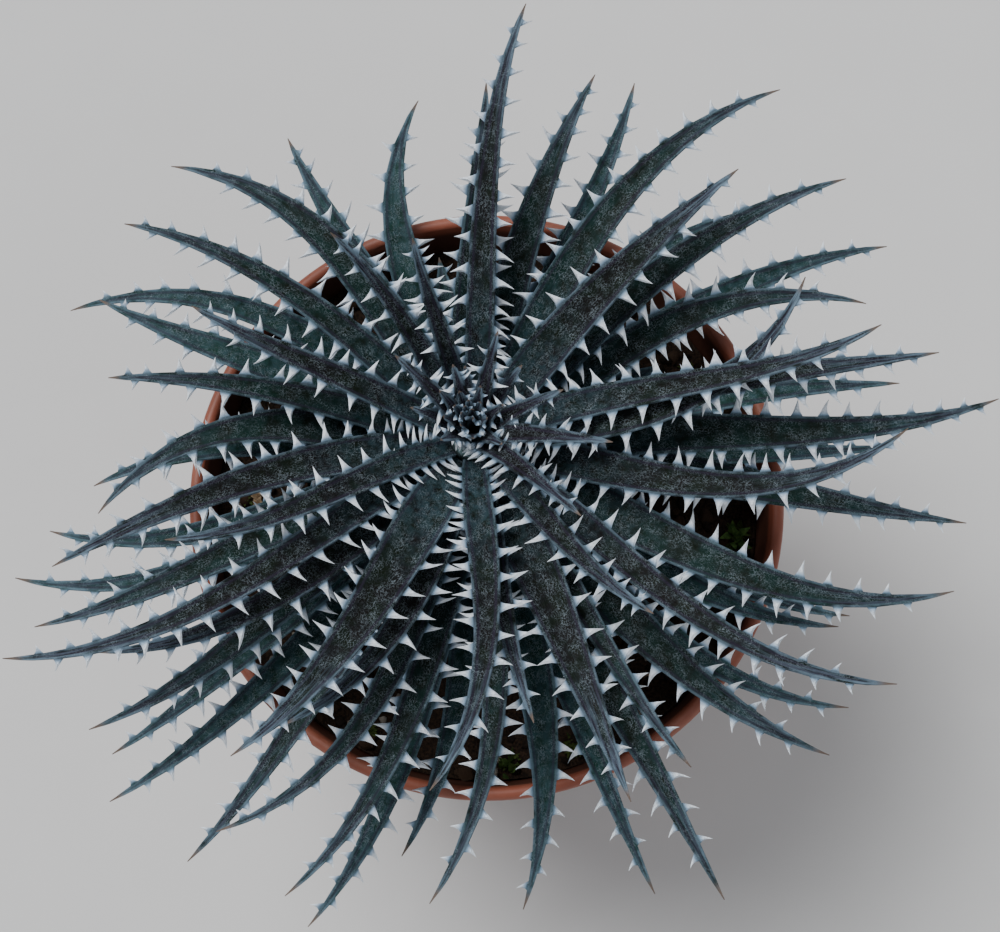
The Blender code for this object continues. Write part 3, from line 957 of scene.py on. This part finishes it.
def pot_profile():
    """From the middle of the floor up inside, over the rim, down outside and back beneath."""
    corner = POT_FLOOR + FLOOR_CORNER
    profile = [(0, POT_FLOOR), (wall_radius(POT_FLOOR) - POT_WALL - FLOOR_CORNER, POT_FLOOR)]
    profile.append((wall_radius(corner) - POT_WALL, corner))
    roll = POT_TOP_RADIUS - POT_WALL / 2 + RIM_ROLL * 0.5
    for degrees in RIM_DEGREES:
        turn = math.radians(degrees)
        height = POT_HEIGHT - RIM_ROLL + RIM_ROLL * math.sin(turn)
        profile.append((roll + RIM_ROLL * math.cos(turn), height))
    profile += [(wall_radius(height), height) for height in (BAND_TOP, BAND_FOOT)]
    profile += [(wall_radius(height) - BAND_RAISED, height) for height in WALL_HEIGHTS]
    profile += [(POT_BOTTOM_RADIUS - inwards, height) for inwards, height in FOOT_CORNER]
    return profile + [(0, 0)]


def drain_drill(hole):
    """A cylinder that cuts one of the drain holes."""
    radius = DRAIN_RADIUS * MM
    mesh = simple_mesh(
        "drill", bmesh.ops.create_cone, cap_ends=True, segments=DRAIN_SIDES, radius1=radius,
        radius2=radius, depth=POT_FLOOR * 3 * MM
    )
    turn = math.radians(45 + 360 / DRAIN_HOLES * hole)
    drill = add_object("drill", mesh)
    drill.location = (DRAIN_RING * math.cos(turn) * MM, DRAIN_RING * math.sin(turn) * MM, 0)
    return drill


class DYCKIA_OT_pot(bpy.types.Operator):
    """Build the plastic pot with its rolled rim and drain holes"""

    bl_idname = "dyckia.pot"
    bl_label = "Pot"

    def execute(self, context):
        drills = [drain_drill(hole) for hole in range(DRAIN_HOLES)]
        mesh = turned("pot_shell", pot_profile(), POT_SIDES, drills)
        material = pot_material(context.scene.dyckia_pot)
        add_piece("pot_shell", mesh, "pot_plastic", material, "pot", smooth_under=35)
        return {"FINISHED"}


def lump(draw, size, flatness):
    """A rough grain: a small sphere pushed about, as points and faces round the origin."""
    sheet = bmesh.new()
    bmesh.ops.create_icosphere(sheet, subdivisions=1, radius=size / 2)
    angle = draw.uniform(0, math.tau)
    x, y, z = (draw.uniform(-1, 1) for _ in range(3))
    turn = Matrix.Rotation(angle, 3, Vector((x, y, z + 1.5)).normalized())
    for vert in sheet.verts:
        vert.co *= draw.uniform(0.72, 1.25)
        vert.co.z *= flatness
        vert.co.rotate(turn)
    points = [tuple(vert.co) for vert in sheet.verts]
    faces = [[vert.index for vert in face.verts] for face in sheet.faces]
    sheet.free()
    return points, faces


def in_soil(draw):
    """A place on the soil, clear of the stem and of the pot's wall."""
    edge = wall_radius(SOIL_TOP) - POT_WALL - 1.6
    while True:
        radius = edge * math.sqrt(draw.random())
        turn = draw.uniform(0, math.tau)
        x, y = radius * math.cos(turn), radius * math.sin(turn)
        if math.hypot(x - STEM_X, y - STEM_Y) > STEM_FOOT_RADIUS + 1.5:
            return x, y


def scattered(draw, count, sizes, flatness):
    """Many grains lying on the soil, as one shape."""
    shapes = []
    for _ in range(count):
        x, y = in_soil(draw)
        size = draw.uniform(*sizes)
        points, faces = lump(draw, size, flatness)
        base = float(soil_height(x, y)) + size * flatness * (0.5 - GRAIN_SUNK)
        shapes.append((np.array(points) + (x, y, base), faces, {}))
    return joined(shapes)


def soil_shape():
    """The bed of soil: an uneven top with a hole for the stem, and a skirt down to the floor."""
    edge = wall_radius(SOIL_TOP) - POT_WALL - 0.4
    hole = STEM_FOOT_RADIUS - 0.6
    share = np.linspace(0.0, 1.0, SOIL_RINGS)[:, None]
    turn = np.linspace(0, math.tau, SOIL_SIDES, endpoint=False)[None, :]
    x = (STEM_X + hole * np.cos(turn)) * (1 - share) + edge * np.cos(turn) * share
    y = (STEM_Y + hole * np.sin(turn)) * (1 - share) + edge * np.sin(turn) * share
    bumps = sum(
        np.sin(x * rate + phase) * np.cos(y * rate * 1.13 - phase) * BUMP_HEIGHT / (rate**0.7)
        for rate, phase in BUMPS
    )
    top = np.stack((x, y, soil_height(x, y) + bumps), axis=-1).reshape(-1, 3)
    foot = POT_FLOOR + 0.3
    low = wall_radius(foot) - POT_WALL - 2.4
    skirt = (low * np.cos(turn[0]), low * np.sin(turn[0]), np.full(SOIL_SIDES, foot))
    faces = []
    for ring in range(SOIL_RINGS):
        start, end = ring * SOIL_SIDES, (ring + 1) * SOIL_SIDES
        for side in range(SOIL_SIDES):
            after = (side + 1) % SOIL_SIDES
            faces.append((start + side, end + side, end + after, start + after))
    faces.append([SOIL_RINGS * SOIL_SIDES + side for side in range(SOIL_SIDES)])
    faces.append(list(range(SOIL_SIDES)))
    return np.concatenate((top, np.stack(skirt, axis=-1))), faces, {}


class DYCKIA_OT_soil(bpy.types.Operator):
    """Build the potting soil, with its bark, fibre and pumice grains"""

    bl_idname = "dyckia.soil"
    bl_label = "Soil"

    def execute(self, context):
        settings = context.scene.dyckia_soil
        mesh = mesh_of("soil_bed", soil_shape())
        turn_outwards(mesh)
        material = dull_material("soil_peat", settings.peat, settings.bark, 1500.0, 0.0006)
        add_piece("soil_bed", mesh, "soil", material, "soil")
        draw = random.Random(SOIL_SEED)
        grain = settings.grain_size / MM
        for name, portion, sizes, flatness, pale, dark in LOOSE_GRAINS:
            count = round(settings.grains * portion)
            widths = (sizes[0] * grain, sizes[1] * grain)
            mesh = mesh_of(name, scattered(draw, count, widths, flatness))
            dark, pale = getattr(settings, dark), getattr(settings, pale)
            material = dull_material(name, dark, pale, 2200.0, 0.0002, spread=(0.15, 0.50))
            add_piece(name, mesh, "soil", material, smooth_under=70)
        return {"FINISHED"}


def blade(draw, x, y, height, spread, width):
    """A small pointed blade that stands out of one spot on the soil."""
    base = float(soil_height(x, y)) - 0.4
    turn, out = draw.uniform(0, math.tau), draw.uniform(0.2, 1.0) * spread
    aside = [draw.uniform(-1, 1) * spread * 0.4 for _ in range(2)]
    foot = np.array((x + aside[0], y + aside[1], base))
    side = np.array((-math.sin(turn), math.cos(turn), 0)) * width / 2
    away = np.array((math.cos(turn), math.sin(turn), 0))
    rise = draw.uniform(0.6, 1.0) * height
    middle = foot + away * out * 0.4 + (0, 0, rise * 0.6)
    tip = foot + away * out + (0, 0, rise)
    thick = np.array((0, 0, 0.25))
    rows = (
        (foot - side * 0.6, foot + side * 0.6, foot + side * 0.1 - thick),
        (middle - side, middle + side, middle - thick - away * 0.2),
        (tip - side * 0.1, tip + side * 0.1, tip - thick * 0.4),
    )
    faces = [[2, 1, 0], [6, 7, 8]]
    for row in (0, 3):
        for corner in range(3):
            after = (corner + 1) % 3
            faces.append([row + corner, row + after, row + 3 + after, row + 3 + corner])
    return np.array(rows).reshape(-1, 3), faces, {}


class DYCKIA_OT_litter(bpy.types.Operator):
    """Add the weeds, moss and dry scraps that lie on the soil"""

    bl_idname = "dyckia.litter"
    bl_label = "Weeds and scraps"

    def execute(self, context):
        draw = random.Random(LITTER_SEED)
        for name, count, height, spread, width, dark, pale, places in LITTER:
            blades = [
                blade(draw, x, y, height, spread, width) for x, y in places for _ in range(count)
            ]
            mesh = mesh_of(name, joined(blades))
            turn_outwards(mesh)
            add_piece(name, mesh, "soil", dull_material(name, dark, pale, 900.0, 0.0001))
        return {"FINISHED"}


class DYCKIA_OT_stem(bpy.types.Operator):
    """Build the short stem with the dry stubs of its oldest leaves"""

    bl_idname = "dyckia.stem"
    bl_label = "Stem"

    def execute(self, context):
        profile = [(0, STEM_TOP)]
        for ring in range(STEM_RINGS, -1, -1):
            height = STEM_FOOT + (STEM_TOP - STEM_FOOT) * ring / STEM_RINGS
            groove = STEM_GROOVE * ((STEM_RINGS - ring) % 2)
            profile.append((stem_radius(height) - groove, height))
        profile.append((0, STEM_FOOT))
        mesh = turned("stem_stub", profile, STEM_SIDES)
        for vert in mesh.vertices:
            pull = 1 + 0.03 * math.sin(7 * math.atan2(vert.co.y, vert.co.x) + vert.co.z * 700)
            vert.co.x = vert.co.x * pull + STEM_X * MM
            vert.co.y = vert.co.y * pull + STEM_Y * MM
        green, silver = (0.03, 0.05, 0.045), (0.13, 0.20, 0.22)
        bases = dull_material("stem_leaf_bases", green, silver, 1200.0, 0.0003)
        add_piece("stem_stub", mesh, "stem", bases, "stem", smooth_under=50)
        draw = random.Random(STEM_SEED)
        shapes = []
        for number in range(STUBS):
            reach, rise = draw.uniform(*STUB_REACH), draw.uniform(*STUB_RISE)
            centre = stub_centre(number, reach, rise)
            width = draw.uniform(*STUB_WIDTH)
            points, faces, _ = leaf_shape(centre, width, STUB_TEETH, STUB_PITCH, number)
            shapes.append((points, faces, {}))
        bark = dull_material("stem_bark", (0.02, 0.013, 0.009), (0.08, 0.06, 0.04), 1200.0, 0.0004)
        mesh = mesh_of("dry_leaf_stubs", joined(shapes))
        add_piece("dry_leaf_stubs", mesh, "stem", bark, smooth_under=50)
        return {"FINISHED"}


def add_leaf(name, shape, slot, material, *nodes):
    add_piece(name, mesh_of(name, shape), slot, material, *nodes, smooth_under=38)


class DYCKIA_OT_leaves(bpy.types.Operator):
    """Build every leaf that grows on the stem"""

    bl_idname = "dyckia.leaves"
    bl_label = "Leaves"

    def execute(self, context):
        settings = context.scene.dyckia_leaf
        old, grown, young = settings.old_top, settings.top_colour, settings.young_top
        skins = (
            leaf_material("leaf_skin_old", old, settings.old_patch, OLD_SCURF, settings),
            leaf_material("leaf_skin", grown, old, LEAF_SCURF, settings),
            leaf_material("leaf_skin_new", young, grown, NEW_SCURF, settings),
        )
        size, pitch = settings.tooth / MM, settings.pitch / MM
        for order, row in enumerate(LEAVES):
            shape = leaf_shape(leaf_centre(order), row[3], size, pitch, LEAF_SEED + order)
            node = "stem" if order < LEAVES_ON_STEM else f"leaf_{order + 1:02d}"
            skin = skins[order * len(skins) // len(LEAVES)]
            add_leaf(f"toothed_leaf_{order + 1:02d}", shape, "leaf", skin, node)
        draw = random.Random(UNDER_DRAWS)
        size, pitch = size * UNDER_TEETH, pitch * UNDER_PITCH
        shapes = []
        for number in range(UNDER_LEAVES):
            room = room_in_pot(UNDER_FIRST_HEADING + GOLDEN_ANGLE * number)
            centre = under_centre(number, min(room, draw.uniform(*UNDER_REACH)))
            width = draw.uniform(*UNDER_WIDTH)
            shapes.append(leaf_shape(centre, width, size, pitch, UNDER_SEED + number))
        add_leaf("under_leaves", joined(shapes), "leaf", skins[0])
        return {"FINISHED"}


class DYCKIA_OT_heart(bpy.types.Operator):
    """Build the youngest leaves and the bud that they open from"""

    bl_idname = "dyckia.heart"
    bl_label = "Heart"

    def execute(self, context):
        settings = context.scene.dyckia_leaf
        size, pitch = settings.tooth / MM * HEART_TEETH, settings.pitch / MM * HEART_PITCH
        shapes = []
        for number, (heading, reach, height, width) in enumerate(HEART_LEAVES):
            centre = heart_centre(heading, reach, height)
            shapes.append(leaf_shape(centre, width, size, pitch, HEART_SEED + number))
        for number in range(BUD_LEAVES):
            share = (number / (BUD_LEAVES - 1)) ** BUD_CROWDING
            heading = BUD_FIRST_HEADING + GOLDEN_ANGLE * number
            reach, height = between(BUD_REACH, share), between(BUD_HEIGHT, share)
            centre = heart_centre(heading, reach, height, between(BUD_START, share), BUD_DRIFT)
            width, teeth = between(BUD_WIDTH, share), size * between(BUD_TEETH, share)
            shapes.append(leaf_shape(centre, width, teeth, pitch, BUD_SEED + number))
        young = settings.young_top
        skin = leaf_material("leaf_skin_heart", young, young, HEART_SCURF, settings)
        add_leaf("heart_leaves", joined(shapes), "young_leaf", skin, "heart")
        return {"FINISHED"}


class DYCKIA_OT_stage(bpy.types.Operator):
    """Build the pale floor, the soft light and the camera"""

    bl_idname = "dyckia.stage"
    bl_label = "Stage"

    def execute(self, context):
        size = {"x_segments": 2, "y_segments": 2, "size": FLOOR_REACH}
        mesh = simple_mesh("floor", bmesh.ops.create_grid, **size)
        mesh.materials.append(stage_material())
        add_object("floor", mesh)
        world = bpy.data.worlds.new("studio")
        world.use_nodes = True
        background = world.node_tree.nodes["Background"]
        background.inputs["Color"].default_value = WORLD_COLOUR
        background.inputs["Strength"].default_value = WORLD_LIGHT
        context.scene.world = world
        for name, place, spread, power in LAMPS:
            lamp = bpy.data.lights.new(name, "SUN")
            lamp.angle = math.radians(spread)
            lamp.energy = power
            light = add_object(name, lamp)
            light.location = place
            light.rotation_euler = (-Vector(place)).to_track_quat("-Z", "Y").to_euler()
        lens = bpy.data.cameras.new("camera")
        lens.lens = CAMERA_LENS
        lens.sensor_width = SENSOR
        camera = add_object("camera", lens)
        away = Vector((0, -math.cos(CAMERA_ELEVATION), math.sin(CAMERA_ELEVATION)))
        camera.location = Vector(CAMERA_AIM) + away * CAMERA_DISTANCE
        camera.rotation_euler = (math.pi / 2 - CAMERA_ELEVATION, 0, 0)
        context.scene.camera = camera
        return {"FINISHED"}


SETTINGS = {
    "dyckia_pot": DyckiaPotSettings,
    "dyckia_soil": DyckiaSoilSettings,
    "dyckia_leaf": DyckiaLeafSettings,
}
OPERATORS = (
    DYCKIA_OT_stage,
    DYCKIA_OT_pot,
    DYCKIA_OT_soil,
    DYCKIA_OT_litter,
    DYCKIA_OT_stem,
    DYCKIA_OT_leaves,
    DYCKIA_OT_heart,
)


class DYCKIA_PT_panel(bpy.types.Panel):
    """Lists the steps and the values that a user may change"""

    bl_label = "Dyckia"
    bl_idname = "DYCKIA_PT_panel"
    bl_space_type = "VIEW_3D"
    bl_region_type = "UI"
    bl_category = "Dyckia"

    def draw(self, context):
        for operator in OPERATORS:
            self.layout.operator(operator.bl_idname)
        for name, settings in SETTINGS.items():
            box = self.layout.box()
            for value in settings.__annotations__:
                box.prop(getattr(context.scene, name), value)


CLASSES = (*SETTINGS.values(), *OPERATORS, DYCKIA_PT_panel)


def register():
    for made in CLASSES:
        bpy.utils.register_class(made)
    for name, settings in SETTINGS.items():
        setattr(bpy.types.Scene, name, bpy.props.PointerProperty(type=settings))


def unregister():
    for name in SETTINGS:
        delattr(bpy.types.Scene, name)
    for made in reversed(CLASSES):
        bpy.utils.unregister_class(made)


def main():
    register()
    bpy.ops.dyckia.stage()
    bpy.ops.dyckia.pot()
    bpy.ops.dyckia.soil()
    bpy.ops.dyckia.litter()
    bpy.ops.dyckia.stem()
    bpy.ops.dyckia.leaves()
    bpy.ops.dyckia.heart()
    bpy.context.view_layer.update()


if __name__ == "__main__":
    main()
